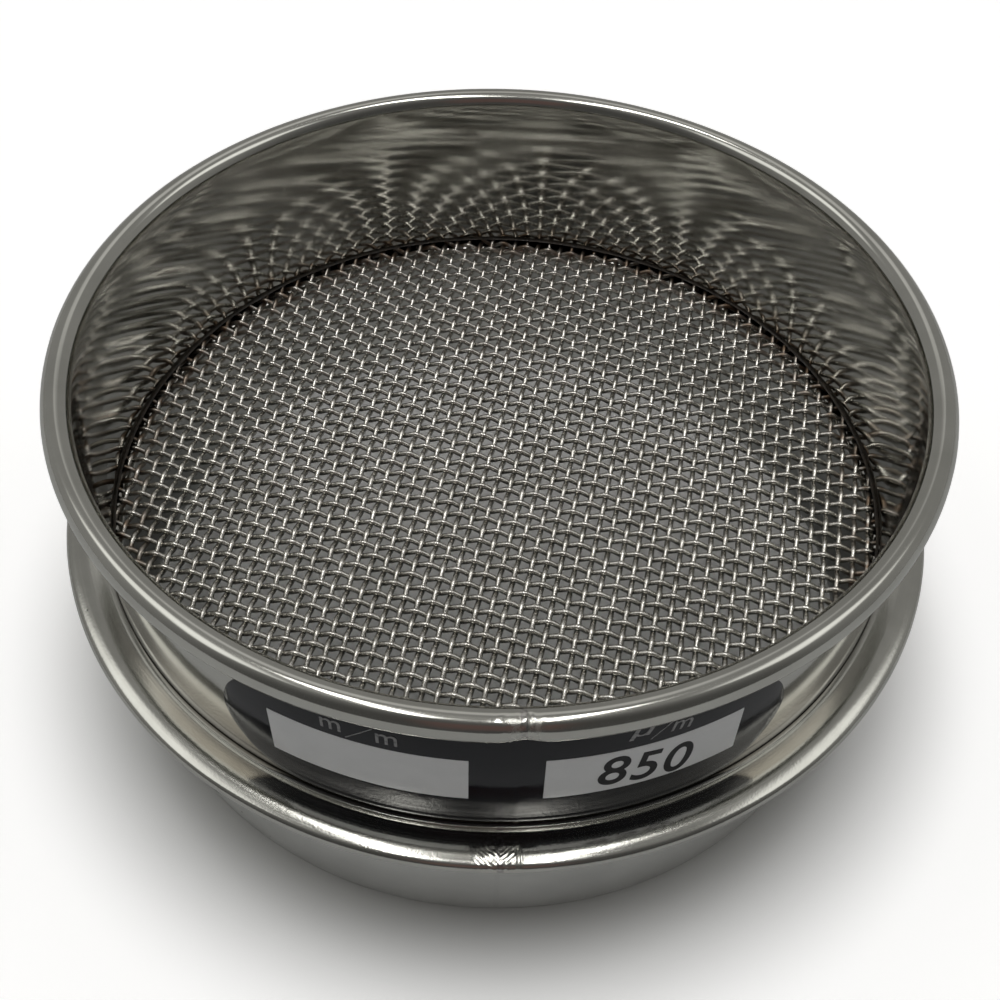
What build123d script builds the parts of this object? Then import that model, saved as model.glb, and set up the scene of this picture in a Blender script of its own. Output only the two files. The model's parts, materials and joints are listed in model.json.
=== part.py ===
from build123d import *
import math
import os

# A 75 mm laboratory test sieve, 20 mm deep, with 850 micrometre woven wire cloth. All sizes in mm.
# Z is the sieve's own axis, the base ring stands on z = 0, and the label faces -Y.

# The two rings of stainless sheet
TOTAL_HEIGHT = 36.5
BORE_RADIUS = 37.5  # inside of the bowl, where the next sieve's skirt goes in
SHEET = 0.5
RIM_TUBE_RADIUS = 1.28  # outside of the rolled rim
RIM_CURL_ANGLE = 295  # how far the sheet rolls round
SKIRT_RADIUS = 37.3  # outside of the skirt, which goes into the sieve or pan below
SHELF_TOP = 16.55  # the cloth lies on this shelf
SHELF_BEND = 0.6
SHELF_END_RADIUS = 39.2  # where the shelf starts to rise to the bead
BEAD_OUTER_RADIUS = 41.8
BEAD_HEIGHT = 17.7  # middle of the fold at the bead's outer edge
FOLD_RADIUS = 0.6  # outside of that fold
CROWN_RADIUS = 4.2  # outside of the bead's shallow upper side
CROWN_ANGLE = 70  # degrees up from straight out, where the fold meets the upper side
LIP_TOP = 18.8
LIP_BEND = 0.27
TOUCH_GAP = 0.01  # between faces that touch on the real sieve

# Butt welds that close the two rings
BOWL_SEAM_AZIMUTH = -88.6
BASE_SEAM_AZIMUTH = -90.5
SEAM_WIDTH = 0.5

# Woven wire cloth
WIRE_DIAMETER = 0.5
APERTURE = 0.85
CLOTH_RADIUS = 37.9  # cut edge of the cloth, under the bowl's bottom edge
SHORTEST_ARC = 0.1  # a shorter end of a wire is left off
WEFT_AZIMUTH = -12.3
SOLDER_WIDTH = 0.3
SOLDER_HEIGHT = 0.4

# Label film on the bowl, with its two printed windows
FRONT_AZIMUTH = -90
LABEL_LENGTH = 47.2  # along the bowl
LABEL_HEIGHT = 13.6
LABEL_MIDDLE = 25.8
LABEL_THICKNESS = 0.12
WINDOW_HEIGHT = 5.85
WINDOW_ANGLE = 24.2
WINDOW_GAP_ANGLE = 8.7  # between the two windows
WINDOW_THICKNESS = 0.05

# Sizes that follow from those
HALF_SHEET = SHEET / 2
WALL_OUTSIDE = BORE_RADIUS + SHEET
PITCH = APERTURE + WIRE_DIAMETER
WIRE_RADIUS = WIRE_DIAMETER / 2
CRIMP = WIRE_RADIUS + TOUCH_GAP / 2  # how far a wire's middle rises and falls
CLOTH_MIDDLE = SHELF_TOP + TOUCH_GAP + CRIMP + WIRE_RADIUS
BOWL_BOTTOM = CLOTH_MIDDLE + CRIMP + WIRE_RADIUS + TOUCH_GAP
SEAM_ANGLE = math.degrees(SEAM_WIDTH / WALL_OUTSIDE)


def on_circle(centre, radius, degrees):
    """A point of the cross-section, (radius, height), on a circle."""
    turn = math.radians(degrees)
    return centre[0] + radius * math.cos(turn), centre[1] + radius * math.sin(turn)


def across(point):
    """A point of the cross-section, placed in the XZ plane."""
    return point[0], 0, point[1]


def rolled(centre, radius, start, end):
    """The middle line of a sheet rolled round a centre from one angle to another, as two arcs."""
    points = [across(on_circle(centre, radius, start + (end - start) * step / 4)) for step in range(5)]
    return ThreePointArc(*points[:3]), ThreePointArc(*points[2:])


def sheet_section(middle_line):
    """The sheet's cross-section: a band one sheet thick about its middle line, with rounded ends."""
    outline = offset(Wire(middle_line), HALF_SHEET, kind=Kind.ARC, side=Side.BOTH, closed=True)
    return make_face(outline.edges())


def closed_with_weld(section, seam_azimuth):
    """The section turned round Z as an open ring, and the weld that closes it."""
    ring = revolve(section, Axis.Z, 360 - SEAM_ANGLE)
    weld = revolve(section, Axis.Z, SEAM_ANGLE)
    ring = Rot(Z=seam_azimuth + SEAM_ANGLE / 2) * ring
    weld = Rot(Z=seam_azimuth - SEAM_ANGLE / 2) * weld
    return ring, weld


def bowl():
    """The upper ring: a straight wall whose top edge is rolled outwards into the rim."""
    roll_radius = RIM_TUBE_RADIUS - HALF_SHEET
    roll_centre = (BORE_RADIUS + RIM_TUBE_RADIUS, TOTAL_HEIGHT - RIM_TUBE_RADIUS)
    wall_middle = BORE_RADIUS + HALF_SHEET
    bottom = (wall_middle, BOWL_BOTTOM + HALF_SHEET)
    wall = Line(across(bottom), across((wall_middle, roll_centre[1])))
    curl = rolled(roll_centre, roll_radius, 180, 180 - RIM_CURL_ANGLE)
    return closed_with_weld(sheet_section([wall, *curl]), BOWL_SEAM_AZIMUTH)


def base_ring():
    """The lower ring: skirt, shelf for the cloth, bead, and a lip against the bowl's wall."""
    skirt = SKIRT_RADIUS - HALF_SHEET
    shelf = SHELF_TOP - HALF_SHEET
    shelf_end = (SHELF_END_RADIUS, shelf)
    fold = (BEAD_OUTER_RADIUS - FOLD_RADIUS, BEAD_HEIGHT)
    fold_radius = FOLD_RADIUS - HALF_SHEET
    crown = on_circle(fold, CROWN_RADIUS - FOLD_RADIUS, CROWN_ANGLE + 180)
    crown_radius = CROWN_RADIUS - HALF_SHEET

    # the straight run from the shelf's end that meets the fold's underside smoothly
    to_fold = math.hypot(fold[0] - shelf_end[0], fold[1] - shelf_end[1])
    rise = math.degrees(
        math.atan2(fold[1] - shelf_end[1], fold[0] - shelf_end[0]) - math.asin(fold_radius / to_fold)
    )
    joins = on_circle(fold, fold_radius, rise - 90)

    # the flat run back in from the bead's top, and the lip that stands against the bowl
    top = on_circle(crown, crown_radius, 90)
    lip = WALL_OUTSIDE + TOUCH_GAP + HALF_SHEET
    lip_foot = (lip, top[1])
    lip_end = (lip, LIP_TOP - HALF_SHEET)

    under = FilletPolyline(
        across((skirt, HALF_SHEET)), across((skirt, shelf)), across(shelf_end), across(joins),
        radius=SHELF_BEND,
    )
    folded = rolled(fold, fold_radius, rise - 90, CROWN_ANGLE)
    crowned = rolled(crown, crown_radius, CROWN_ANGLE, 90)
    over = FilletPolyline(across(top), across(lip_foot), across(lip_end), radius=LIP_BEND)
    section = sheet_section([*under.edges(), *folded, *crowned, *over.edges()])
    return closed_with_weld(section, BASE_SEAM_AZIMUTH)


def crimped_wire(side_step, first_up):
    """One wire along X at side_step pitches from the middle: arcs that bend up and down in turn."""
    bend_radius = (PITCH**2 / 4 + CRIMP**2) / (2 * CRIMP)
    half_chord = math.sqrt(CLOTH_RADIUS**2 - (abs(side_step) * PITCH + WIRE_RADIUS) ** 2)
    last = round(half_chord / PITCH)
    arcs = []
    for crossing in range(-last, last + 1):
        up = 1 if (side_step + crossing + first_up) % 2 == 0 else -1
        middle = crossing * PITCH
        start = max(middle - PITCH / 2, -half_chord)
        end = min(middle + PITCH / 2, half_chord)
        if end - start < SHORTEST_ARC:
            continue
        points = []
        for along in (start, (start + end) / 2, end):
            height = math.sqrt(bend_radius**2 - (along - middle) ** 2) - bend_radius + CRIMP
            points.append((along, 0, up * height))
        arcs.append(ThreePointArc(*points))
    path = Wire(arcs)
    section = Plane(origin=path @ 0, z_dir=path % 0) * Circle(WIRE_RADIUS)
    return Pos(0, side_step * PITCH, CLOTH_MIDDLE) * sweep(section, path=path)


def wires(azimuth, first_up):
    """All the wires of one direction, as separate solids."""
    most = int((CLOTH_RADIUS - PITCH) / PITCH)  # the outermost wire still has a chord to lie on
    turn = Rot(Z=azimuth)
    return Compound([turn * crimped_wire(step, first_up).solid() for step in range(-most, most + 1)])


def solder():
    """The bead of solder in the corner between the cloth and the bowl's wall."""
    outside = BORE_RADIUS - TOUCH_GAP
    inner = outside - SOLDER_WIDTH
    corners = [(outside, BOWL_BOTTOM), (outside, BOWL_BOTTOM + SOLDER_HEIGHT), (inner, BOWL_BOTTOM)]
    section = make_face(Polyline(*[across(corner) for corner in corners], close=True).edges())
    return revolve(section, Axis.Z, 360)


def wall_patch(inside, thickness, low, high, start, angle):
    """A patch of a thin cylinder, from an azimuth through an angle."""
    corners = [(inside, low), (inside + thickness, low), (inside + thickness, high), (inside, high)]
    face = make_face(Polyline(*[across(corner) for corner in corners], close=True).edges())
    return Rot(Z=start) * revolve(face, Axis.Z, angle)


def label_film():
    """The film on the bowl's wall: a long patch with half-round ends."""
    inside = WALL_OUTSIDE + TOUCH_GAP
    end_radius = LABEL_HEIGHT / 2
    half_angle = math.degrees((LABEL_LENGTH / 2 - end_radius) / inside)
    low = LABEL_MIDDLE - end_radius
    high = LABEL_MIDDLE + end_radius
    film = wall_patch(inside, LABEL_THICKNESS, low, high, FRONT_AZIMUTH - half_angle, 2 * half_angle)
    for side in (-1, 1):
        azimuth = FRONT_AZIMUTH + side * half_angle
        end_angle = math.degrees(LABEL_HEIGHT / inside)
        patch = wall_patch(inside, LABEL_THICKNESS, low, high, azimuth - end_angle / 2, end_angle)
        punch = Pos(inside, 0, LABEL_MIDDLE) * Rot(Y=90) * Cylinder(end_radius, inside)
        film += patch & (Rot(Z=azimuth) * punch)
    return film.clean()


def label_window(side):
    """A light printed window on the label film, left (-1) or right (1) of the middle."""
    inside = WALL_OUTSIDE + 2 * TOUCH_GAP + LABEL_THICKNESS
    middle = FRONT_AZIMUTH + side * (WINDOW_GAP_ANGLE + WINDOW_ANGLE) / 2
    low = LABEL_MIDDLE - WINDOW_HEIGHT / 2
    return wall_patch(
        inside, WINDOW_THICKNESS, low, low + WINDOW_HEIGHT, middle - WINDOW_ANGLE / 2, WINDOW_ANGLE
    )


os.makedirs("parts", exist_ok=True)
bowl_shell, bowl_seam_weld = bowl()
base, base_weld = base_ring()
nodes = {
    "bowl_shell": bowl_shell,
    "bowl_seam_weld": bowl_seam_weld,
    "base_ring": base,
    "base_ring_seam_weld": base_weld,
    "warp_wires": wires(WEFT_AZIMUTH + 90, 1),
    "weft_wires": wires(WEFT_AZIMUTH, 0),
    "cloth_solder": solder(),
    "label_film": label_film(),
    "millimetre_window": label_window(-1),
    "micrometre_window": label_window(1),
}
for name, shape in nodes.items():
    export_step(shape, f"parts/{name}.step")
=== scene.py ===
import json
import math

import bmesh
import bpy
import numpy as np
from mathutils import Matrix, Vector, noise


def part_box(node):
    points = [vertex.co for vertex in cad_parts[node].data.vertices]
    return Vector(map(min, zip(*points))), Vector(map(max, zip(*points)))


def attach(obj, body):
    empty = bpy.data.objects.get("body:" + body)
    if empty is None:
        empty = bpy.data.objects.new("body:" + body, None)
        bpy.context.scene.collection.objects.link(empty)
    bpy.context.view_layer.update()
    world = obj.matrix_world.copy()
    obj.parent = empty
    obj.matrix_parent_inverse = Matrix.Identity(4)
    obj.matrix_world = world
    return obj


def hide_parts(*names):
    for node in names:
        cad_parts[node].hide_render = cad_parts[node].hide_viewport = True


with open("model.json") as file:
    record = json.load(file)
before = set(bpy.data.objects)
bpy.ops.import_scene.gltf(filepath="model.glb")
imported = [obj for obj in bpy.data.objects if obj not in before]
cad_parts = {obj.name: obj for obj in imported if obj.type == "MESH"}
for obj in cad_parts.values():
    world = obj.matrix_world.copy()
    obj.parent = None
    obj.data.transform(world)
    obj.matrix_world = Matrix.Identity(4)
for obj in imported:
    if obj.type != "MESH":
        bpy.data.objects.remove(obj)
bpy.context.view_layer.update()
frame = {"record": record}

# A 75 mm test sieve: a bowl with a rolled rim, woven wire cloth, and a beaded base ring.
# Shapes are worked out in millimetres here, and add_piece() writes them in metres.
MM = 0.001
SHARP_EDGE = 50  # degrees between faces, from which an edge is shaded as a crease

# Sizes that come from the frame: each box's two corners, and the mounts' radii
bowl_low, bowl_high = (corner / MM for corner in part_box("bowl_shell"))
ring_low, ring_high = (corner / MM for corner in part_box("base_ring"))
solder_low, solder_high = (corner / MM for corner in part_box("cloth_solder"))
label_low, label_high = (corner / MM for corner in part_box("label_film"))
window_low, window_high = (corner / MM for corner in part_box("micrometre_window"))
mounts = {mount["name"]: mount["dims"] for mount in frame["record"]["mounts"]}
BORE = mounts["bowl_bore"]["r_mm"]
SKIRT = mounts["skirt"]["r_mm"]

# The two rings of sheet, as in the CAD model. Angles and azimuths are in degrees.
SHEET = 0.5
HALF_SHEET = SHEET / 2
WALL_OUTSIDE = BORE + SHEET
RIM_TUBE = (bowl_high.x - BORE) / 2  # outside radius of the rolled rim
RIM_CENTRE = (BORE + RIM_TUBE, bowl_high.z - RIM_TUBE)
RIM_CURL = 295
SHELF_TOP = 16.55
SHELF_BEND = 0.6
SHELF_END = 39.2
BEAD_HEIGHT = 17.7
BEAD_CENTRE = (ring_high.x - 1.6, BEAD_HEIGHT - 1.0)  # the file marks are cut towards it
FOLD = 0.6  # outside radius of the bead's outer edge
CROWN = 4.2  # outside radius of the bead's shallow upper side
CROWN_ANGLE = 70
TROUGH_LEAN = 4  # the flat between the bead and the lip falls towards the bowl
LIP_BEND = 0.27
LIP_CORNER = 0.06
GAP = 0.01  # between faces that touch on the real sieve
BOWL_SEAM = -88.6
BASE_SEAM = -90.5
SEAM_DEGREES = 0.75

# How finely those rings are divided
ARC_STEP = 9  # degrees
CROWN_STEP = 1.4
BEND_STEP = 15
LINE_STEP = 1.2
LIP_STEP = 0.4
SEAM_ZONE = 4  # degrees on each side of a seam with closer columns
SEAM_STEP = 0.12
RING_COLUMNS = 460

# Unevenness of the rolled sheet: how deep, and how long its waves are along X, Y and Z
WAVES = ((0.030, (11, 11, 16)), (0.009, (4.0, 4.0, 11)), (0.0012, (1.3, 1.3, 5)))

# Woven wire cloth
WIRE = 0.5
PITCH = 1.35
CRIMP = 0.255
CREST_SHARPNESS = 0.045  # share of the third harmonic, which straightens the slopes between crests
CLOTH_RADIUS = 37.9
CLOTH_MIDDLE = SHELF_TOP + GAP + CRIMP + WIRE / 2
WEFT_AZIMUTH = -12.3
WIRE_SIDES = 8
STEPS_PER_CROSSING = 5
GRID_HALF = 40  # more lines than there are wires on either side of the middle
SOLDER_WIDTH = 0.24
SOLDER_STEP = 0.5  # degrees

# Label
FRONT = -90
LABEL_LENGTH = 47.2
FILM = 0.12
WINDOW_FILM = 0.05
INK = 0.03
LETTER_SPACING = 1.08
LETTER_CUT = 0.08  # between the cuts that let a letter bend round the wall, before it is scaled

# What is printed: name, text, place along the wall and up, (width, height), tilt and slope.
# The number stands on the right window, and the units m/m and µ/m over the two windows.
NUMBER = ("aperture_number", "850", (11.0, 25.55), (7.65, 4.2), -6.3, 2)
NUMBER_WEIGHT = 0.010
UNIT_WEIGHT = 0.004
UNIT_MARKS = (
    ("millimetre_mark_first", "m", (-13.45, 30.25), (1.65, 1.35), 0, 0),
    ("millimetre_mark_slash", "/", (-11.20, 30.15), (0.45, 2.2), 0, 40),
    ("millimetre_mark_last", "m", (-9.05, 30.15), (1.65, 1.35), 0, 0),
    ("micrometre_mark_first", "µ", (10.05, 30.70), (1.45, 1.75), -6, 12),
    ("micrometre_mark_slash", "/", (11.75, 30.45), (0.40, 2.2), -6, 30),
    ("micrometre_mark_last", "m", (13.35, 30.30), (1.60, 1.30), -6, 5),
)

# Colours of steel from its dark parts to its bright ones, and of flux on it; the satin steel is
# paler as painted light, and the tan and black are painted shade
BOWL_STEEL = ((0.485, 0.483, 0.448), (0.575, 0.573, 0.535))
RING_STEEL = ((0.465, 0.463, 0.430), (0.565, 0.563, 0.525))
BRIGHTENED_SATIN_STEEL = ((0.74, 0.745, 0.72), (0.82, 0.825, 0.80))
WELD_STEEL = ((0.38, 0.37, 0.35), (0.55, 0.54, 0.52))
WIRE_STEEL = ((0.55, 0.535, 0.495), (0.68, 0.665, 0.625))
FLUX_BROWN = (0.20, 0.13, 0.075)
# painted shade for the bowl's outside above the trough: tan, then near black
PAINTED_SHADE_TAN = (0.30, 0.265, 0.215)
PAINTED_SHADE_BLACK = (0.05, 0.043, 0.035)

# Camera: where it stands from the middle of the rim, in metres and degrees, and how it is turned
CAMERA_DISTANCE = 0.1162
CAMERA_AZIMUTH = -92.1
CAMERA_ELEVATION = 42.45
CAMERA_ROLL = 1.81
CAMERA_YAW = 0.1
CAMERA_PITCH = -7.23
CAMERA_LENS = 46.8
CAMERA_CLIP = (0.005, 50)

# Floor: half its side, in metres, and how brightly its open part glows in the picture
FLOOR_HALF = 3.0
FLOOR_GLOW = 0.56

# Light from the room's upper half, as a map seen from below: x to the right and y away, both from
# -1 to 1 at the horizon. Each soft box: x, y, slant (how much x grows with y), half width,
# half height, edge, strength, colour.
WHITE = (1.0, 0.99, 0.97)
SIDE_WHITE = (1.0, 1.00, 0.97)
RED = (1.0, 0.22, 0.14)
SOFT_BOXES = (
    (-0.190, 0.02, -0.12, 0.030, 0.24, 0.025, 11.0, WHITE),  # the two tubes mirrored in the rim
    (0.135, -0.04, 0.26, 0.025, 0.21, 0.025, 12.0, WHITE),
    (0.00, 0.60, 0.0, 0.160, 0.10, 0.08, 0.4, WHITE),  # a faint one behind
    (-0.58, 0.09, 0.0, 0.115, 0.27, 0.07, 1.05, SIDE_WHITE),  # wide ones at the sides
    (0.57, 0.07, 0.0, 0.100, 0.22, 0.07, 1.05, SIDE_WHITE),
    (-0.02, -0.76, 0.0, 0.200, 0.14, 0.08, 0.06, RED),  # a trace of something red in front
)
ROOM_COLOUR = (1.0, 0.985, 0.95)
ROOM_FRONT = 0.080
ROOM_BACK = 0.29


# --- Meshes -----------------------------------------------------------------------------------

def add_piece(name, points, faces, material, slot, *stands_for):
    """A closed mesh from points in millimetres, riding on the sieve's one body."""
    mesh = bpy.data.meshes.new(name)
    mesh.from_pydata((np.asarray(points) * MM).tolist(), [], faces)
    shape = bmesh.new()
    shape.from_mesh(mesh)
    bmesh.ops.recalc_face_normals(shape, faces=shape.faces)
    for face in shape.faces:
        face.smooth = True
    for edge in shape.edges:
        edge.smooth = edge.calc_face_angle(0) < math.radians(SHARP_EDGE)
    shape.to_mesh(mesh)
    shape.free()
    mesh.materials.append(material)
    piece = bpy.data.objects.new(name, mesh)
    bpy.context.scene.collection.objects.link(piece)
    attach(piece, "root")
    if stands_for:
        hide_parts(*stands_for)


def grid_faces(columns, rows, wrap_columns=False, first=0):
    """Quads between neighbouring columns of points; each column is a closed ring of points."""
    column = np.arange(columns if wrap_columns else columns - 1)
    column, row = (index.ravel() for index in np.meshgrid(column, np.arange(rows), indexing="ij"))
    next_column, next_row = (column + 1) % columns, (row + 1) % rows
    corners = [
        column * rows + row,
        next_column * rows + row,
        next_column * rows + next_row,
        column * rows + next_row,
    ]
    return (np.stack(corners, axis=1) + first).tolist()


def cap_faces(rows, first):
    """Quads across the end of a band whose outline runs up one side and back down the other."""
    half = rows // 2
    last = first + rows - 1
    return [[first + k, first + k + 1, last - k - 1, last - k] for k in range(half - 1)]


def perlin(points, period, seed):
    """Smooth noise from about -1 to 1 at each point, with features about as large as period."""
    shift = Vector((seed * 7.3, seed * 3.1, seed * 5.7))
    scaled = np.asarray(points).reshape(-1, 3) / np.asarray(period)
    return np.array([noise.noise(Vector(point) + shift) for point in scaled])


def fade(value, start, length):
    """0 up to start, then a straight rise to 1 over length, which may be negative."""
    return np.clip((value - start) / length, 0, 1)


def hump(value, middle, width, power=2):
    """1 at the middle, falling to 0 beyond width on each side; a higher power has a flatter top."""
    return np.exp(-((value - middle) / width) ** power)


def waviness(points):
    """Points moved in or out by the sheet's unevenness; it is the same for all that touches."""
    points = np.asarray(points, float).reshape(-1, 3)
    radius = np.hypot(points[:, 0], points[:, 1])
    azimuth = np.arctan2(points[:, 1], points[:, 0])
    on_wall = np.stack([BORE * np.cos(azimuth), BORE * np.sin(azimuth), points[:, 2]], axis=1)
    offset = sum(depth * perlin(on_wall, period, seed)
                 for seed, (depth, period) in enumerate(WAVES, 1))
    scale = (radius + offset) / radius
    return np.stack([points[:, 0] * scale, points[:, 1] * scale, points[:, 2]], axis=1)


# --- Sheet rings ------------------------------------------------------------------------------

def arc(centre, radius, start, end, step=ARC_STEP):
    """Points of the cross-section, (radius, height), along an arc; angles are in degrees."""
    count = max(2, round(abs(end - start) / step))
    turn = np.radians(np.linspace(start, end, count + 1))
    return np.stack([centre[0] + radius * np.cos(turn), centre[1] + radius * np.sin(turn)], axis=1)


def rounded_line(corners, radius, step=LINE_STEP):
    """Points along straight runs whose corners are rounded."""
    corners = [np.array(corner, float) for corner in corners]
    pieces = [corners[0][None]]
    for before, corner, after in zip(corners, corners[1:], corners[2:]):
        back = (before - corner) / np.linalg.norm(before - corner)
        ahead = (after - corner) / np.linalg.norm(after - corner)
        half_angle = math.acos(np.clip(back @ ahead, -1, 1)) / 2
        trim = radius / math.tan(half_angle)
        inwards = (back + ahead) / np.linalg.norm(back + ahead)
        centre = corner + inwards * radius / math.sin(half_angle)
        enter = corner + back * trim - centre
        leave = corner + ahead * trim - centre
        start = math.degrees(math.atan2(enter[1], enter[0]))
        end = math.degrees(math.atan2(leave[1], leave[0]))
        end = start + (end - start + 180) % 360 - 180
        pieces.append(arc(centre, radius, start, end, BEND_STEP))
    pieces.append(corners[-1][None])
    return spaced(np.concatenate(pieces), step)


def spaced(points, step):
    """The same line, with points added so that none are further apart than step."""
    found = [points[:1]]
    for start, end in zip(points, points[1:]):
        count = max(1, math.ceil(np.linalg.norm(end - start) / step))
        share = np.linspace(0, 1, count + 1)[1:, None]
        found.append(start + (end - start) * share)
    return np.concatenate(found)


def band(line, last_corner=HALF_SHEET):
    """The outline of a sheet about its middle line, out one side and back the other.

    Its first end is round, and its last end has corners of radius last_corner."""
    along = np.gradient(line, axis=0)
    along /= np.linalg.norm(along, axis=1)[:, None]
    half = np.full(len(line), HALF_SHEET)
    roundness = np.radians([25, 48, 68, 86])
    for end, sign, corner in ((0, -1, HALF_SHEET), (-1, 1, last_corner)):
        tips = HALF_SHEET - corner + corner * np.sin(roundness)
        tips = line[end] + sign * along[end] * tips[:, None]
        widths = HALF_SHEET - corner + corner * np.cos(roundness)
        ways = np.repeat(along[end][None], len(roundness), axis=0)
        if sign < 0:
            line = np.concatenate([tips[::-1], line])
            along = np.concatenate([ways, along])
            half = np.concatenate([widths[::-1], half])
        else:
            line = np.concatenate([line, tips])
            along = np.concatenate([along, ways])
            half = np.concatenate([half, widths])
    side = np.stack([-along[:, 1], along[:, 0]], axis=1) * half[:, None]
    return np.concatenate([line + side, (line - side)[::-1]])


def bowl_line(curl=RIM_CURL):
    """Middle line of the bowl's sheet: up the wall, then rolled outwards into the rim."""
    middle = BORE + HALF_SHEET
    wall = np.array([(middle, bowl_low.z + HALF_SHEET), (middle, RIM_CENTRE[1])])
    step = curl / round(RIM_CURL / ARC_STEP)  # the same number of points for every curl
    rolled = arc(RIM_CENTRE, RIM_TUBE - HALF_SHEET, 180, 180 - curl, step)
    return np.concatenate([spaced(wall, LINE_STEP)[:-1], rolled])


def base_line():
    """Middle line of the base ring's sheet: skirt, shelf, bead, and the lip against the bowl."""
    skirt = SKIRT - HALF_SHEET
    shelf = SHELF_TOP - HALF_SHEET
    fold = (ring_high.x - FOLD, BEAD_HEIGHT)
    lean = math.radians(CROWN_ANGLE)
    apart = CROWN - FOLD
    crown = (fold[0] - apart * math.cos(lean), fold[1] - apart * math.sin(lean))

    # the straight run from the shelf's end that meets the fold's underside smoothly
    fold_radius = FOLD - HALF_SHEET
    out, up = fold[0] - SHELF_END, fold[1] - shelf
    rise = math.degrees(math.atan2(up, out) - math.asin(fold_radius / math.hypot(out, up)))
    folded = arc(fold, fold_radius, rise - 90, CROWN_ANGLE)
    under = [(skirt, ring_low.z + HALF_SHEET), (skirt, shelf), (SHELF_END, shelf), folded[0]]

    # the bead's upper side, the flat that falls towards the bowl, and the lip
    upper = arc(crown, CROWN - HALF_SHEET, CROWN_ANGLE, 90 + TROUGH_LEAN, CROWN_STEP)
    top = upper[-1]
    lip = WALL_OUTSIDE + GAP + HALF_SHEET
    fall = (top[0] - lip) * math.tan(math.radians(TROUGH_LEAN))
    over = [top, (lip, top[1] - fall), (lip, ring_high.z - HALF_SHEET)]
    return np.concatenate([rounded_line(under, SHELF_BEND), folded[1:], upper[1:-1],
                           rounded_line(over, LIP_BEND, LIP_STEP)])


def seam_columns(seam):
    """Azimuths round an open ring, from one side of its seam to the other; closer near it."""
    near = np.arange(SEAM_DEGREES / 2, SEAM_ZONE, SEAM_STEP)
    middle = np.linspace(SEAM_ZONE, 360 - SEAM_ZONE, RING_COLUMNS)
    return seam + np.concatenate([near, middle, (360 - near)[::-1]])


def turned(section, azimuths):
    """The section's points at each azimuth, as columns x rows x 3."""
    turn = np.radians(azimuths)[:, None]
    if section.ndim == 2:
        section = np.repeat(section[None], len(azimuths), axis=0)
    radius, height = section[:, :, 0], section[:, :, 1]
    return np.stack([radius * np.cos(turn), radius * np.sin(turn), height], axis=2)


def closed_band(points):
    """Faces of a band that is swept along its columns and closed at both ends."""
    columns, rows = points.shape[:2]
    return grid_faces(columns, rows) + cap_faces(rows, 0) + cap_faces(rows, (columns - 1) * rows)


def push_out(points, depths, centre):
    """Points moved by depths away from the middle, (radius, height), of a rolled edge."""
    radius = np.hypot(points[:, :, 0], points[:, :, 1])
    azimuth = np.arctan2(points[:, :, 1], points[:, :, 0])
    out = np.stack([radius - centre[0], points[:, :, 2] - centre[1]], axis=2)
    out /= np.linalg.norm(out, axis=2)[:, :, None]
    radius = radius + out[:, :, 0] * depths
    height = points[:, :, 2] + out[:, :, 1] * depths
    return np.stack([radius * np.cos(azimuth), radius * np.sin(azimuth), height], axis=2)


def seam_distance(azimuth, seam):
    """How far an azimuth is from a seam along the ring, in millimetres, with a sign."""
    apart = (azimuth - seam + 180) % 360 - 180
    return np.radians(apart) * WALL_OUTSIDE


def ring_places(points, seam):
    """Each point's distance from the seam, its radius and its height."""
    azimuth = np.degrees(np.arctan2(points[:, :, 1], points[:, :, 0]))
    radius = np.hypot(points[:, :, 0], points[:, :, 1])
    return seam_distance(azimuth, seam), radius, points[:, :, 2]


def dressed_rim(points):
    """The rim at its weld: a shallow pitted flat on top, a notch, and a dent low on its outside."""
    away, radius, height = ring_places(points, BOWL_SEAM)
    on_top = fade(height, 34.6, 0.8) * fade(radius, 38.3, 0.5)
    low_outside = fade(radius, 39.0, 0.6) * fade(height, 35.9, -0.7)
    flat = hump(away, -0.7, 1.4, 4) * on_top
    notch = hump(away, 0.45, 0.22) * on_top
    dent = hump(away, 0.1, 1.1) * low_outside
    pits = perlin(points, (0.4, 0.4, 0.4), 8).reshape(away.shape)
    depths = -flat * (0.02 + 0.022 * pits) - 0.24 * dent - 0.05 * notch
    return push_out(points, depths, RIM_CENTRE)


def filed_bead(points):
    """The bead as it was filed at the weld: grooves that meet in a V, and a notch beside it."""
    away, radius, height = ring_places(points, BASE_SEAM)
    on_top = fade(radius, 39.9, 0.4) * (height > BEAD_HEIGHT)
    left_reach, right_reach = 1.7, 1.3
    patch = hump(away, 0, np.where(away < 0, left_reach, right_reach), 6) * on_top
    rough = perlin(points, (0.7, 0.7, 0.7), 5).reshape(away.shape)
    across_grooves = radius + 1.1 * np.abs(away) + 0.28 * rough
    groove_pitch = 0.44
    grooves = np.sin(across_grooves * 2 * math.pi / groove_pitch)
    notch = hump(away, 1.35, 0.14) * on_top
    depths = patch * (-0.02 + 0.014 * grooves + 0.02 * rough) - 0.06 * notch
    return push_out(points, depths, BEAD_CENTRE)


def bowl_ring(azimuths):
    """The bowl's sheet at these azimuths; its rolled edge ends a little early at the seam."""
    curls = RIM_CURL - 16 * hump(seam_distance(azimuths, BOWL_SEAM), 0.3, 0.7)
    sections = np.stack([band(bowl_line(curl)) for curl in curls])
    return dressed_rim(turned(sections, azimuths))


def settled(points):
    """Points with the sheet's waviness added, as one list."""
    return waviness(points.reshape(-1, 3))


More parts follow.
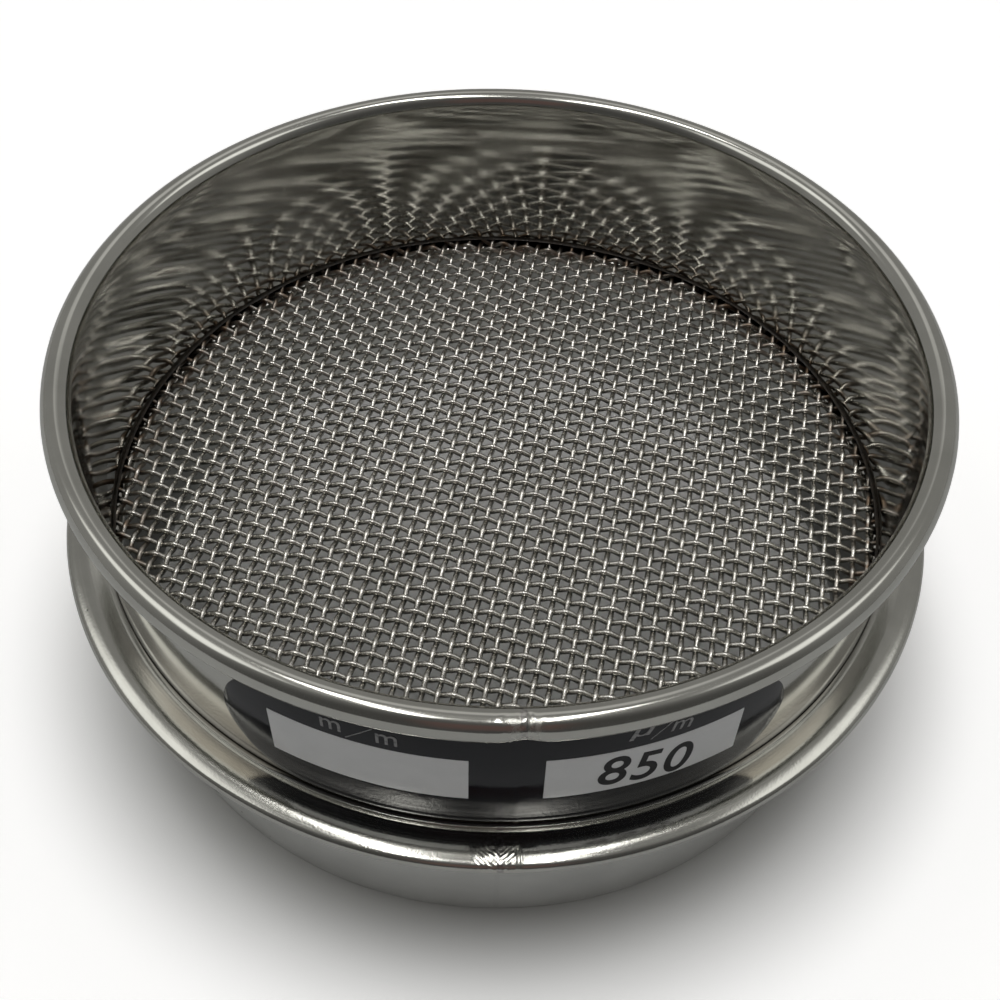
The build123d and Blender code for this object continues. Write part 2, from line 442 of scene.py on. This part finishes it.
def sheet_rings(materials):
    """The bowl, the base ring and the two welds that close them."""
    bowl = bowl_ring(seam_columns(BOWL_SEAM))
    add_piece("bowl_shell_sheet", settled(bowl), closed_band(bowl),
              materials["bowl"], "polished_steel", "bowl_shell")

    base_section = band(base_line(), LIP_CORNER)
    base = filed_bead(turned(base_section, seam_columns(BASE_SEAM)))
    add_piece("base_ring_sheet", settled(base), closed_band(base),
              materials["ring"], "ring_steel", "base_ring")

    across = np.linspace(-SEAM_DEGREES / 2, SEAM_DEGREES / 2, 9)
    crown = 0.015 * (1 - (across / across[-1]) ** 2)[:, None]
    bowl_weld = raised(bowl_ring(BOWL_SEAM + across), crown)
    add_piece("bowl_seam_weld_bead", settled(bowl_weld), closed_band(bowl_weld),
              materials["weld"], "weld", "bowl_seam_weld")

    base_weld = filed_bead(turned(base_section, BASE_SEAM + across))
    add_piece("base_ring_seam_weld_bead", settled(base_weld), closed_band(base_weld),
              materials["weld"], "weld", "base_ring_seam_weld")


def raised(points, crown):
    """A weld's points, a little proud of the sheet it joins, unevenly."""
    rows = points.shape[1]
    outside = np.zeros(rows)
    outside[rows // 2:] = 1  # the band's second side is the one that faces out
    uneven = perlin(points, (0.4, 0.4, 0.7), 4).reshape(points.shape[:2])
    rise = crown * outside * (1 + 0.8 * uneven)
    radius = np.hypot(points[:, :, 0], points[:, :, 1])
    scale = (radius + rise) / radius
    return np.stack([points[:, :, 0] * scale, points[:, :, 1] * scale, points[:, :, 2]], axis=2)


# --- Wire cloth -------------------------------------------------------------------------------

def unevenness(u, v):
    """How far, in millimetres, the crossings at grid position u, v lie from an even grid."""
    rng = np.random.default_rng(11)
    side_u, side_v = rng.normal(0, 0.028, (2, 2 * GRID_HALF + 1))
    index = np.arange(2 * GRID_HALF + 1) - GRID_HALF
    sway_u = 0.10 * np.sin(v / 9 + u / 15)
    sway_v = 0.09 * np.sin(u / 8 - v / 17)
    shift_u = np.interp(u, index, side_u) + sway_u + 0.03 * np.sin(v / 2.7 + u)
    shift_v = np.interp(v, index, side_v) + sway_v + 0.03 * np.sin(u / 2.9 - v)
    return shift_u, shift_v


def woven_wire(side, along_v, first_up):
    """The middle line of one wire, in the cloth's own axes: u to the right, v away."""
    reach = math.sqrt(CLOTH_RADIUS ** 2 - (abs(side) * PITCH + WIRE / 2) ** 2) / PITCH
    count = max(2, round(2 * reach * STEPS_PER_CROSSING))
    travel = np.linspace(-reach, reach, count + 1)
    fixed = np.full_like(travel, side)
    u, v = (fixed, travel) if along_v else (travel, fixed)
    shift_u, shift_v = unevenness(u, v)
    phase = math.pi * (travel + side + first_up)
    share = CRIMP / (1 + CREST_SHARPNESS)
    height = share * (np.cos(phase) + CREST_SHARPNESS * np.cos(3 * phase))
    return np.stack([u * PITCH + shift_u, v * PITCH + shift_v, CLOTH_MIDDLE + height], axis=1)


def tube(line):
    """Rings of points round a wire's middle line."""
    along = np.gradient(line, axis=0)
    along /= np.linalg.norm(along, axis=1)[:, None]
    side = np.cross(along, (0, 0, 1))
    side /= np.linalg.norm(side, axis=1)[:, None]
    above = np.cross(side, along)
    turn = np.linspace(0, 2 * math.pi, WIRE_SIDES, endpoint=False)
    radius = WIRE / 2 / math.cos(math.pi / WIRE_SIDES) ** 0.5  # same area as the round wire
    ring = np.cos(turn)[:, None] * side[:, None] + np.sin(turn)[:, None] * above[:, None]
    return line[:, None] + radius * ring


def wires(along_v, first_up):
    """All wires of one direction: points in the sieve's frame, and faces."""
    most = int((CLOTH_RADIUS - PITCH) / PITCH)
    points, faces, first = [], [], 0
    for side in range(-most, most + 1):
        rings = tube(woven_wire(side, along_v, first_up))
        columns = len(rings)
        points.append(rings.reshape(-1, 3))
        faces += grid_faces(columns, WIRE_SIDES, first=first)
        faces.append(list(range(first, first + WIRE_SIDES)))
        last = first + (columns - 1) * WIRE_SIDES
        faces.append(list(range(last, last + WIRE_SIDES))[::-1])
        first += columns * WIRE_SIDES
    points = np.concatenate(points)
    turn = math.radians(WEFT_AZIMUTH)
    x = points[:, 0] * math.cos(turn) - points[:, 1] * math.sin(turn)
    y = points[:, 0] * math.sin(turn) + points[:, 1] * math.cos(turn)
    return np.stack([x, y, points[:, 2]], axis=1), faces


def cloth(materials):
    """Warp and weft, and the solder that holds them in the corner of the bowl."""
    for name, along_v, first_up in (("warp_wires", True, 1), ("weft_wires", False, 0)):
        points, faces = wires(along_v, first_up)
        add_piece(name + "_woven", points, faces, materials["wire"], "wire", name)

    azimuths = np.arange(0, 360, SOLDER_STEP)
    outside = BORE - GAP
    bottom, height = solder_low.z, solder_high.z - solder_low.z
    turn = np.radians(np.linspace(0, 90, 5))
    inner = outside - SOLDER_WIDTH * (1 - np.sin(turn))
    fillet = np.stack([inner, bottom + height * (1 - np.cos(turn))], axis=1)
    section = np.concatenate([fillet, [(outside, bottom)]])
    points = turned(section, azimuths)
    uneven = 1 + 0.45 * perlin(points, (1.7, 1.7, 40), 6).reshape(points.shape[:2])
    radius = np.hypot(points[:, :, 0], points[:, :, 1])
    squeezed = outside - (outside - radius) * uneven
    points[:, :, :2] *= (squeezed / radius)[:, :, None]
    points[:, :, 2] = bottom + (points[:, :, 2] - bottom) * (0.25 + 0.45 * uneven)
    faces = grid_faces(len(azimuths), len(section), wrap_columns=True)
    add_piece("cloth_solder_line", settled(points), faces,
              materials["solder"], "solder", "cloth_solder")


# --- Label ------------------------------------------------------------------------------------

def seam_ridge(azimuth):
    """How far the label stands out over the weld beneath it."""
    away = np.radians(azimuth - BOWL_SEAM) * WALL_OUTSIDE
    return 0.015 * np.exp(-((away / 0.3) ** 2))


def on_wall(along, height, out):
    """A point of the label: along the wall from the middle of the front, height, and radius."""
    azimuth = FRONT + np.degrees(along / WALL_OUTSIDE)
    radius = out + seam_ridge(azimuth)
    turn = np.radians(azimuth)
    height = np.broadcast_to(height, turn.shape)
    return np.stack([radius * np.cos(turn), radius * np.sin(turn), height], axis=-1)


def film_patch(along, low, high, inside, thickness):
    """A thin patch on the wall: at each place along, from low to high, with softened edges."""
    upwards = np.array([0.0, 0.04, 0.5, 0.96, 1.0])
    share = np.concatenate([upwards, upwards[::-1]])
    face = np.array([0.5, 1, 1, 1, 0.5])
    depth = np.concatenate([np.zeros(len(face)), thickness * face])
    height = low[:, None] + (high - low)[:, None] * share
    return on_wall(np.broadcast_to(along[:, None], height.shape), height, inside + depth)


def label(materials):
    """The film on the bowl's wall, its two light windows, and what is printed on it."""
    middle = (label_low.z + label_high.z) / 2
    end_radius = (label_high.z - label_low.z) / 2
    straight = LABEL_LENGTH / 2 - end_radius
    turn = np.radians(np.linspace(2, 90, 14))
    ends = straight + end_radius * np.cos(turn)
    along = np.concatenate([-ends, np.linspace(-straight, straight, 90)[1:-1], ends[::-1]])
    beyond = np.clip(np.abs(along) - straight, 0, None)
    half = np.sqrt(end_radius ** 2 - beyond ** 2)
    inside = WALL_OUTSIDE + GAP
    film = film_patch(along, middle - half, middle + half, inside, FILM)
    add_piece("label_film_black", settled(film), closed_band(film),
              materials["film"], "label_black", "label_film")

    near, far = (math.asin(x / inside) * WALL_OUTSIDE for x in (window_low.x, window_high.x))
    for name, side in (("millimetre_window", -1), ("micrometre_window", 1)):
        along = side * np.linspace(near, far, 40)
        low = np.full_like(along, window_low.z)
        high = np.full_like(along, window_high.z)
        patch = film_patch(along, low, high, inside + FILM, WINDOW_FILM)
        add_piece(name + "_print", settled(patch), closed_band(patch),
                  materials["window"], "label_white", name)

    out = inside + FILM
    printed(NUMBER, out + WINDOW_FILM, NUMBER_WEIGHT, materials["ink"], "label_black")
    for mark in UNIT_MARKS:
        printed(mark, out, UNIT_WEIGHT, materials["letters"], "label_white")


def printed(mark, out, weight, material, slot):
    """Raised print on the wall, standing on radius out; a heavier weight has broader strokes."""
    name, text, place, size, tilt, slope = mark
    curve = bpy.data.curves.new(name, "FONT")
    curve.body = text
    curve.align_x = "CENTER"
    curve.align_y = "CENTER"
    curve.extrude = 0.5  # any height does: the front goes to INK and the back to 0 below
    curve.space_character = LETTER_SPACING
    curve.offset = weight
    source = bpy.data.objects.new(name + "_curve", curve)
    bpy.context.scene.collection.objects.link(source)
    evaluated = source.evaluated_get(bpy.context.evaluated_depsgraph_get())
    flat = bpy.data.meshes.new_from_object(evaluated)
    bpy.data.objects.remove(source)
    shape = bmesh.new()
    shape.from_mesh(flat)
    bmesh.ops.remove_doubles(shape, verts=shape.verts, dist=1e-5)
    for cut in np.arange(-3, 3, LETTER_CUT):
        everything = list(shape.verts) + list(shape.edges) + list(shape.faces)
        bmesh.ops.bisect_plane(shape, geom=everything, plane_co=(cut, 0, 0), plane_no=(1, 0, 0))
    points = np.array([vertex.co for vertex in shape.verts])
    shape.verts.index_update()
    faces = [[vertex.index for vertex in face.verts] for face in shape.faces]
    shape.free()
    low, high = points.min(axis=0), points.max(axis=0)
    across, up = (
        (points[:, axis] - (low[axis] + high[axis]) / 2) * size[axis] / (high[axis] - low[axis])
        for axis in (0, 1)
    )
    across = across + up * math.tan(math.radians(slope))
    turn = math.radians(tilt)
    along = place[0] + across * math.cos(turn) - up * math.sin(turn)
    rise = place[1] + across * math.sin(turn) + up * math.cos(turn)
    depth = np.where(points[:, 2] > 0, INK, 0)
    add_piece(name, waviness(on_wall(along, rise, out + depth)), faces, material, slot)


# --- Materials --------------------------------------------------------------------------------

class Finish:
    """A material's nodes, with short calls for the ones used here. Places are in millimetres."""

    def __init__(self, name):
        self.material = bpy.data.materials.new(name)
        self.material.use_nodes = True
        self.nodes = self.material.node_tree.nodes
        self.links = self.material.node_tree.links
        self.surface = self.nodes["Principled BSDF"]
        place = self.nodes.new("ShaderNodeTexCoord").outputs["Object"]
        self.place = self.vector("SCALE", place, scale=1 / MM)
        parts = self.nodes.new("ShaderNodeSeparateXYZ")
        self.plug(parts.inputs[0], self.place)
        self.height = parts.outputs["Z"]
        flat = self.vector("MULTIPLY", self.place, (1, 1, 0))
        self.radius = self.vector("LENGTH", flat)

    def plug(self, socket, value):
        """Joins a socket to another one, or sets it to a number or colour."""
        if isinstance(value, bpy.types.NodeSocket):
            self.links.new(value, socket)
        else:
            socket.default_value = value

    def vector(self, operation, first, second=None, scale=None):
        """A vector sum; its result is a number for a length or a dot product."""
        node = self.nodes.new("ShaderNodeVectorMath")
        node.operation = operation
        self.plug(node.inputs[0], first)
        if second is not None:
            self.plug(node.inputs[1], second)
        if scale is not None:
            node.inputs["Scale"].default_value = scale
        return node.outputs["Value" if operation in ("LENGTH", "DOT_PRODUCT") else "Vector"]

    def math(self, operation, first, second=0.0):
        node = self.nodes.new("ShaderNodeMath")
        node.operation = operation
        self.plug(node.inputs[0], first)
        self.plug(node.inputs[1], second)
        return node.outputs[0]

    def times(self, first, second):
        return self.math("MULTIPLY", first, second)

    def ramp(self, value, low, high, to_low=0.0, to_high=1.0):
        """Value from low to high, as a smooth step from to_low to to_high."""
        node = self.nodes.new("ShaderNodeMapRange")
        node.interpolation_type = "SMOOTHSTEP"
        for socket, number in zip(node.inputs, (value, low, high, to_low, to_high)):
            self.plug(socket, number)
        return node.outputs[0]

    def noise(self, stretch, detail=3.0, shift=0.0):
        """Noise from about 0.2 to 0.8; its features are 1 / stretch millimetres on each axis."""
        scaled = self.vector("MULTIPLY", self.place, stretch)
        node = self.nodes.new("ShaderNodeTexNoise")
        node.noise_dimensions = "4D"
        self.plug(node.inputs["Vector"], scaled)
        self.plug(node.inputs["W"], shift)
        node.inputs["Scale"].default_value = 1
        node.inputs["Detail"].default_value = detail
        node.inputs["Roughness"].default_value = 0.55
        return node.outputs[0]

    def round_marks(self, fineness, detail=3.0):
        """Marks that run round the ring, as from rolling and polishing."""
        across = self.times(self.radius, fineness)
        return self.noise((0.035, 0.035, fineness), detail, shift=across)

    def blend(self, share, first, second):
        """The first number where share is 0, and the second where it is 1."""
        node = self.nodes.new("ShaderNodeMix")
        node.data_type = "FLOAT"
        self.plug(node.inputs[0], share)
        self.plug(node.inputs[2], first)
        self.plug(node.inputs[3], second)
        return node.outputs[0]

    def colour(self, value):
        return (*value, 1) if isinstance(value, tuple) else value

    def tint(self, share, first, second):
        """The first colour where share is 0, and the second where it is 1."""
        node = self.nodes.new("ShaderNodeMix")
        node.data_type = "RGBA"
        self.plug(node.inputs[0], share)
        for socket, colour in ((node.inputs[6], first), (node.inputs[7], second)):
            self.plug(socket, self.colour(colour))
        return node.outputs[2]

    def bump(self, value, depth, normal=None):
        """A normal for heights of value times depth, in millimetres."""
        node = self.nodes.new("ShaderNodeBump")
        node.inputs["Distance"].default_value = depth * MM
        self.plug(node.inputs["Height"], value)
        if normal is not None:
            self.plug(node.inputs["Normal"], normal)
        return node.outputs[0]

    def near_seam(self, seam, low, high):
        """1 within low millimetres of a seam at the front of a ring, 0 beyond high."""
        turn = math.radians(seam)
        side = self.vector("DOT_PRODUCT", self.place, (-math.sin(turn), math.cos(turn), 0))
        ahead = self.vector("DOT_PRODUCT", self.place, (math.cos(turn), math.sin(turn), 0))
        close = self.ramp(self.math("ABSOLUTE", side), high, low)
        return self.times(close, self.math("GREATER_THAN", ahead, 0))

    def on_skirt(self):
        """1 on the base ring's skirt, 0 above it."""
        return self.times(self.ramp(self.height, 16.1, 15.6), self.ramp(self.radius, 38.0, 37.6))

    def finish(self, colour, metallic, roughness, normal=None, **others):
        """The material, with these plugged into its surface."""
        self.plug(self.surface.inputs["Base Color"], self.colour(colour))
        self.plug(self.surface.inputs["Metallic"], metallic)
        self.plug(self.surface.inputs["Roughness"], roughness)
        if normal is not None:
            self.plug(self.surface.inputs["Normal"], normal)
        for name, value in others.items():
            self.plug(self.surface.inputs[name.replace("_", " ")], value)
        return self.material


def bowl_steel():
    """Bright rolled sheet: a mirror inside, softer on the rim, ground where it was welded.

    Flux stains it inside above the cloth, and painted shade darkens the outside above the trough,
    towards tan and then near black."""
    look = Finish("bright_rolled_sheet")
    smudge = look.noise((0.12, 0.12, 0.12), 4)
    grain = look.noise((7, 7, 0.35), 3)
    marks = look.round_marks(5)
    mottle = look.noise((2.2, 2.2, 2.2), 4)
    past_wall = look.ramp(look.radius, 38.2, 38.5)
    rim = look.math("MAXIMUM", look.ramp(look.height, 35.0, 35.7), past_wall)
    ground = look.times(look.near_seam(BOWL_SEAM, 0.9, 1.6), look.ramp(look.radius, 38.6, 39.2))
    inside = look.ramp(look.radius, 37.95, 37.7)
    outside = look.ramp(look.radius, 37.7, 37.9)

    wall_roughness = look.ramp(smudge, 0.3, 0.75, 0.045, 0.11)
    rim_roughness = look.ramp(marks, 0.25, 0.75, 0.10, 0.17)
    roughness = look.blend(rim, wall_roughness, rim_roughness)
    roughness = look.blend(ground, roughness, look.ramp(mottle, 0.3, 0.7, 0.18, 0.36))

    colour = look.tint(look.ramp(smudge, 0.25, 0.75), *BOWL_STEEL)
    stain = look.times(look.ramp(look.height, 19.6, 17.6), look.ramp(mottle, 0.42, 0.62))
    stain = look.times(stain, inside)
    colour = look.tint(look.times(stain, 0.65), colour, FLUX_BROWN)
    # painted shade: the outside wall from the trough upwards is darkened and warmed towards tan
    tan_painted_shade = look.times(look.ramp(look.height, 29.0, 21.5), outside)
    tan_painted_shade = look.times(tan_painted_shade, look.ramp(smudge, 0.2, 0.7, 0.75, 0.95))
    colour = look.tint(tan_painted_shade, colour, PAINTED_SHADE_TAN)
    # painted shade: just above the trough the outside wall turns near black
    dark_painted_shade = look.times(look.ramp(look.height, 21.6, 19.4), outside)
    colour = look.tint(look.times(dark_painted_shade, 0.85), colour, PAINTED_SHADE_BLACK)
    pale = look.times(ground, look.ramp(mottle, 0.45, 0.65, 0.0, 0.25))
    colour = look.tint(pale, colour, (0.72, 0.71, 0.66))

    normal = look.bump(grain, 0.0007)
    normal = look.bump(look.times(marks, rim), 0.0018, normal)
    normal = look.bump(look.times(mottle, ground), 0.03, normal)
    return look.finish(colour, 1.0, roughness, normal)


def ring_steel():
    """The base ring: bright bead and trough with rolling marks, satin skirt, filed at the weld."""
    look = Finish("rolled_sheet_with_satin_skirt")
    smudge = look.noise((0.15, 0.15, 0.2), 4)
    marks = look.round_marks(6)
    grain = look.noise((5, 5, 0.3), 3)
    orange_peel = look.noise((4.5, 4.5, 4.5), 2)
    skirt = look.on_skirt()
    filed = look.times(look.near_seam(BASE_SEAM, 1.2, 2.0), look.ramp(look.radius, 39.2, 39.8))
    mottle = look.noise((2.6, 2.6, 2.6), 4)

    bright = look.ramp(marks, 0.25, 0.75, 0.10, 0.20)
    satin = look.ramp(smudge, 0.25, 0.75, 0.42, 0.50)
    roughness = look.blend(skirt, bright, satin)
    roughness = look.blend(filed, roughness, look.ramp(mottle, 0.3, 0.7, 0.10, 0.24))

    colour = look.tint(look.ramp(smudge, 0.25, 0.75), *RING_STEEL)
    # painted light: the skirt's satin steel is paler than the sheet's, which brightens its
    # reflection; its roughness is the real satin finish
    brightened_satin_colour = look.tint(look.ramp(smudge, 0.25, 0.75), *BRIGHTENED_SATIN_STEEL)
    colour = look.tint(skirt, colour, brightened_satin_colour)
    pale = look.times(filed, look.ramp(mottle, 0.45, 0.66, 0.0, 0.35))
    colour = look.tint(pale, colour, (0.70, 0.67, 0.60))
    specks = look.ramp(look.noise((1.6, 1.6, 1.6), 2, shift=4.0), 0.74, 0.78)
    colour = look.tint(specks, colour, (0.05, 0.045, 0.04))

    normal = look.bump(marks, 0.002)
    normal = look.bump(grain, 0.0025, normal)
    normal = look.bump(orange_peel, 0.006, normal)
    return look.finish(colour, 1.0, roughness, normal)


def weld_steel():
    """Ground weld metal: duller and more broken than the sheet beside it."""
    look = Finish("ground_weld")
    mottle = look.noise((3.5, 3.5, 3.5), 4)
    scratches = look.noise((1.0, 1.0, 9.0), 3)
    colour = look.tint(look.ramp(mottle, 0.35, 0.65), *WELD_STEEL)
    satin = look.on_skirt()
    # painted light: on the skirt the weld takes the same paler satin colour
    colour = look.tint(satin, colour, (0.77, 0.775, 0.75))
    roughness = look.blend(satin, look.ramp(mottle, 0.3, 0.7, 0.11, 0.22), 0.46)
    normal = look.bump(scratches, 0.002, look.bump(mottle, 0.006))
    return look.finish(colour, 1.0, roughness, normal)


def wire_steel():
    """Drawn wire: satin, with drawing marks, dull in places, brown from flux near the edge, and
    darkened towards the wall with painted shade.
    """
    look = Finish("drawn_wire")
    patches = look.noise((0.22, 0.22, 0.22), 4)
    fine = look.noise((9, 9, 9), 2)
    blotch = look.noise((0.9, 0.9, 0.9), 4, shift=2.0)
    colour = look.tint(look.ramp(patches, 0.3, 0.7), *WIRE_STEEL)
    dull = look.ramp(blotch, 0.58, 0.72, 0.0, 0.35)
    colour = look.tint(dull, colour, (0.30, 0.275, 0.24))
    edge = look.ramp(look.radius, 32.5, 37.4)
    stain = look.times(edge, look.ramp(blotch, 0.40, 0.60))
    colour = look.tint(look.times(stain, 0.85), colour, (0.16, 0.085, 0.035))
    # painted shade: the wires turn nearly black towards the wall, where the cloth meets the bowl
    painted_edge_shade = look.ramp(look.radius, 36.4, 37.4, 0.0, 0.75)
    colour = look.tint(painted_edge_shade, colour, (0.05, 0.035, 0.022))
    roughness = look.blend(stain, look.ramp(fine, 0.3, 0.7, 0.19, 0.31), 0.45)
    return look.finish(colour, 1.0, roughness, look.bump(fine, 0.004))


def solder_metal():
    """Dull solder, partly metal, under dark flux."""
    look = Finish("solder_and_flux")
    blotch = look.noise((1.3, 1.3, 1.3), 4)
    fine = look.noise((6, 6, 6), 3)
    colour = look.tint(look.ramp(blotch, 0.35, 0.65), (0.012, 0.010, 0.008), (0.05, 0.04, 0.03))
    metal = look.ramp(fine, 0.4, 0.7, 0.2, 0.8)
    return look.finish(colour, metal, look.ramp(blotch, 0.3, 0.7, 0.35, 0.6), look.bump(fine, 0.03))


def label_black():
    """Glossy black film with faint ripples and finger marks."""
    look = Finish("glossy_black_film")
    smear = look.noise((0.25, 0.25, 0.5), 4)
    ripple = look.noise((0.35, 0.35, 0.35), 2)
    fine = look.noise((10, 10, 10), 2)
    colour = look.tint(look.ramp(smear, 0.35, 0.7), (0.003, 0.004, 0.008), (0.008, 0.009, 0.014))
    roughness = look.ramp(smear, 0.3, 0.7, 0.06, 0.14)
    normal = look.bump(fine, 0.0008, look.bump(ripple, 0.02))
    return look.finish(colour, 0.0, roughness, normal, Specular_IOR_Level=0.19)


def window_white():
    """The label's light windows: semi-gloss, a little dusty."""
    look = Finish("light_label_window")
    dust = look.noise((0.3, 0.3, 0.3), 3)
    fine = look.noise((8, 8, 8), 2)
    colour = look.tint(look.ramp(dust, 0.35, 0.7), (0.84, 0.855, 0.86), (0.88, 0.895, 0.90))
    return look.finish(colour, 0.0, look.ramp(dust, 0.3, 0.7, 0.32, 0.36), look.bump(fine, 0.002))


def black_ink():
    """Raised black print with slightly uneven density."""
    look = Finish("black_print")
    density = look.noise((2.5, 2.5, 2.5), 3)
    colour = look.tint(look.ramp(density, 0.35, 0.65), (0.008, 0.008, 0.010), (0.022, 0.022, 0.026))
    roughness = look.ramp(density, 0.3, 0.7, 0.3, 0.42)
    normal = look.bump(density, 0.004)
    return look.finish(colour, 0.0, roughness, normal, Specular_IOR_Level=0.15)


def grey_letters():
    """Light grey letters printed on the black film."""
    look = Finish("light_grey_print")
    density = look.noise((3, 3, 3), 3)
    colour = look.tint(look.ramp(density, 0.35, 0.65), (0.21, 0.21, 0.215), (0.33, 0.33, 0.335))
    roughness = look.ramp(density, 0.3, 0.7, 0.25, 0.4)
    return look.finish(colour, 0.0, roughness, look.bump(density, 0.004))


# --- Studio -----------------------------------------------------------------------------------

def direction(azimuth, elevation):
    """A unit vector that points this way from the middle."""
    turn, rise = math.radians(azimuth), math.radians(elevation)
    level = math.cos(rise)
    return Vector((level * math.cos(turn), level * math.sin(turn), math.sin(rise)))


def camera():
    """The camera stands close over the front of the rim and looks down into the bowl."""
    out = direction(CAMERA_AZIMUTH, CAMERA_ELEVATION)
    rim_middle = Vector((0, 0, bowl_high.z * MM))
    place = Matrix.Translation(rim_middle + out * CAMERA_DISTANCE)
    facing = (-out).to_track_quat("-Z", "Y").to_matrix().to_4x4()
    for degrees, axis in ((CAMERA_ROLL, "Z"), (CAMERA_YAW, "Y"), (CAMERA_PITCH, "X")):
        facing = facing @ Matrix.Rotation(math.radians(degrees), 4, axis)
    data = bpy.data.cameras.new("camera")
    data.lens = CAMERA_LENS
    data.clip_start, data.clip_end = CAMERA_CLIP
    eye = bpy.data.objects.new("camera", data)
    eye.matrix_world = place @ facing
    bpy.context.scene.collection.objects.link(eye)
    bpy.context.scene.camera = eye


def floor():
    """A plain floor: pale in the picture, with painted shade under the cloth at the front and
    painted light towards the back, and mid grey to the steel, with painted shade under the sieve
    that lightens towards its back edge.
    """
    corners = [(x * FLOOR_HALF, y * FLOOR_HALF, 0) for x, y in ((-1, -1), (1, -1), (1, 1), (-1, 1))]
    mesh = bpy.data.meshes.new("floor")
    mesh.from_pydata(corners, [], [(0, 1, 2, 3)])
    look = Finish("pale_floor")
    seen = look.nodes.new("ShaderNodeLightPath").outputs["Is Camera Ray"]
    open_floor = look.ramp(look.radius, 36, 54)
    outside = look.ramp(look.radius, 35.5, 37.5)
    across = look.vector("DOT_PRODUCT", look.place, (0, 1, 0))
    # painted shade and light: the floor under the cloth is darker at the front and lighter towards
    # the back
    painted_light_under_cloth = look.tint(look.ramp(across, -25, 20), (0.55, 0.56, 0.55), (1.0, 1.0, 0.99))
    back_glow = look.times(look.ramp(across, 2, 34, 0.0, 0.09), look.ramp(look.radius, 38, 36))
    glow = look.blend(look.times(open_floor, seen), back_glow, FLOOR_GLOW)
    pale = look.tint(open_floor, painted_light_under_cloth, (0.84, 0.84, 0.84))
    # painted shade and light: the floor that the steel reflects is dark under the sieve, lighter
    # towards its back edge, and mid grey outside
    inside = look.tint(look.ramp(across, 10, 32), (0.13, 0.13, 0.125), (0.85, 0.85, 0.83))
    reflected_painted_shade_and_light = look.tint(outside, inside, (0.65, 0.66, 0.67))
    colour = look.tint(seen, reflected_painted_shade_and_light, pale)
    mesh.materials.append(look.finish(colour, 0.0, 0.8, Specular_IOR_Level=0.1,
                                      Emission_Color=(1, 1, 1, 1), Emission_Strength=glow))
    ground = bpy.data.objects.new("floor", mesh)
    bpy.context.scene.collection.objects.link(ground)


def studio():
    """A dim room with soft boxes overhead; the camera itself sees a pale backdrop."""
    world = bpy.data.worlds.new("studio")
    bpy.context.scene.world = world
    world.use_nodes = True
    nodes, links = world.node_tree.nodes, world.node_tree.links
    nodes.clear()
    towards = nodes.new("ShaderNodeSeparateXYZ")
    links.new(nodes.new("ShaderNodeTexCoord").outputs["Generated"], towards.inputs[0])

    def calculate(operation, first, second=0.0):
        node = nodes.new("ShaderNodeMath")
        node.operation = operation
        for socket, value in zip(node.inputs, (first, second)):
            if isinstance(value, bpy.types.NodeSocket):
                links.new(value, socket)
            else:
                socket.default_value = value
        return node.outputs[0]

    def step(value, low, high, to_low=0.0, to_high=1.0):
        node = nodes.new("ShaderNodeMapRange")
        node.interpolation_type = "SMOOTHSTEP"
        links.new(value, node.inputs[0])
        for socket, number in zip(node.inputs[1:5], (low, high, to_low, to_high)):
            socket.default_value = number
        return node.outputs[0]

    def background(strength, colour):
        node = nodes.new("ShaderNodeBackground")
        node.inputs["Color"].default_value = (*colour, 1)
        if isinstance(strength, bpy.types.NodeSocket):
            links.new(strength, node.inputs["Strength"])
        else:
            node.inputs["Strength"].default_value = strength
        return node.outputs[0]

    def added(first, second):
        node = nodes.new("ShaderNodeAddShader")
        links.new(first, node.inputs[0])
        links.new(second, node.inputs[1])
        return node.outputs[0]

    right, back, up = towards.outputs
    light = background(step(back, -0.75, 0.15, ROOM_FRONT, ROOM_BACK), ROOM_COLOUR)
    overhead = calculate("GREATER_THAN", up, 0.0)
    for x, y, slant, half_width, half_height, edge, strength, colour in SOFT_BOXES:
        inside = overhead
        straight = calculate("SUBTRACT", right, calculate("MULTIPLY", back, slant))
        for place, middle, half in ((straight, x, half_width), (back, y, half_height)):
            away = calculate("ABSOLUTE", calculate("SUBTRACT", place, middle))
            inside = calculate("MULTIPLY", inside, step(away, half + edge, half - edge / 2))
        light = added(light, background(calculate("MULTIPLY", inside, strength), colour))

    mix = nodes.new("ShaderNodeMixShader")
    links.new(nodes.new("ShaderNodeLightPath").outputs["Is Camera Ray"], mix.inputs[0])
    links.new(light, mix.inputs[1])
    links.new(background(1.0, (1, 1, 1)), mix.inputs[2])
    links.new(mix.outputs[0], nodes.new("ShaderNodeOutputWorld").inputs[0])


MATERIALS = {
    "bowl": bowl_steel(),
    "ring": ring_steel(),
    "weld": weld_steel(),
    "wire": wire_steel(),
    "solder": solder_metal(),
    "film": label_black(),
    "window": window_white(),
    "ink": black_ink(),
    "letters": grey_letters(),
}
camera()
sheet_rings(MATERIALS)
cloth(MATERIALS)
label(MATERIALS)
floor()
studio()
bpy.context.scene.view_settings.view_transform = "Standard"
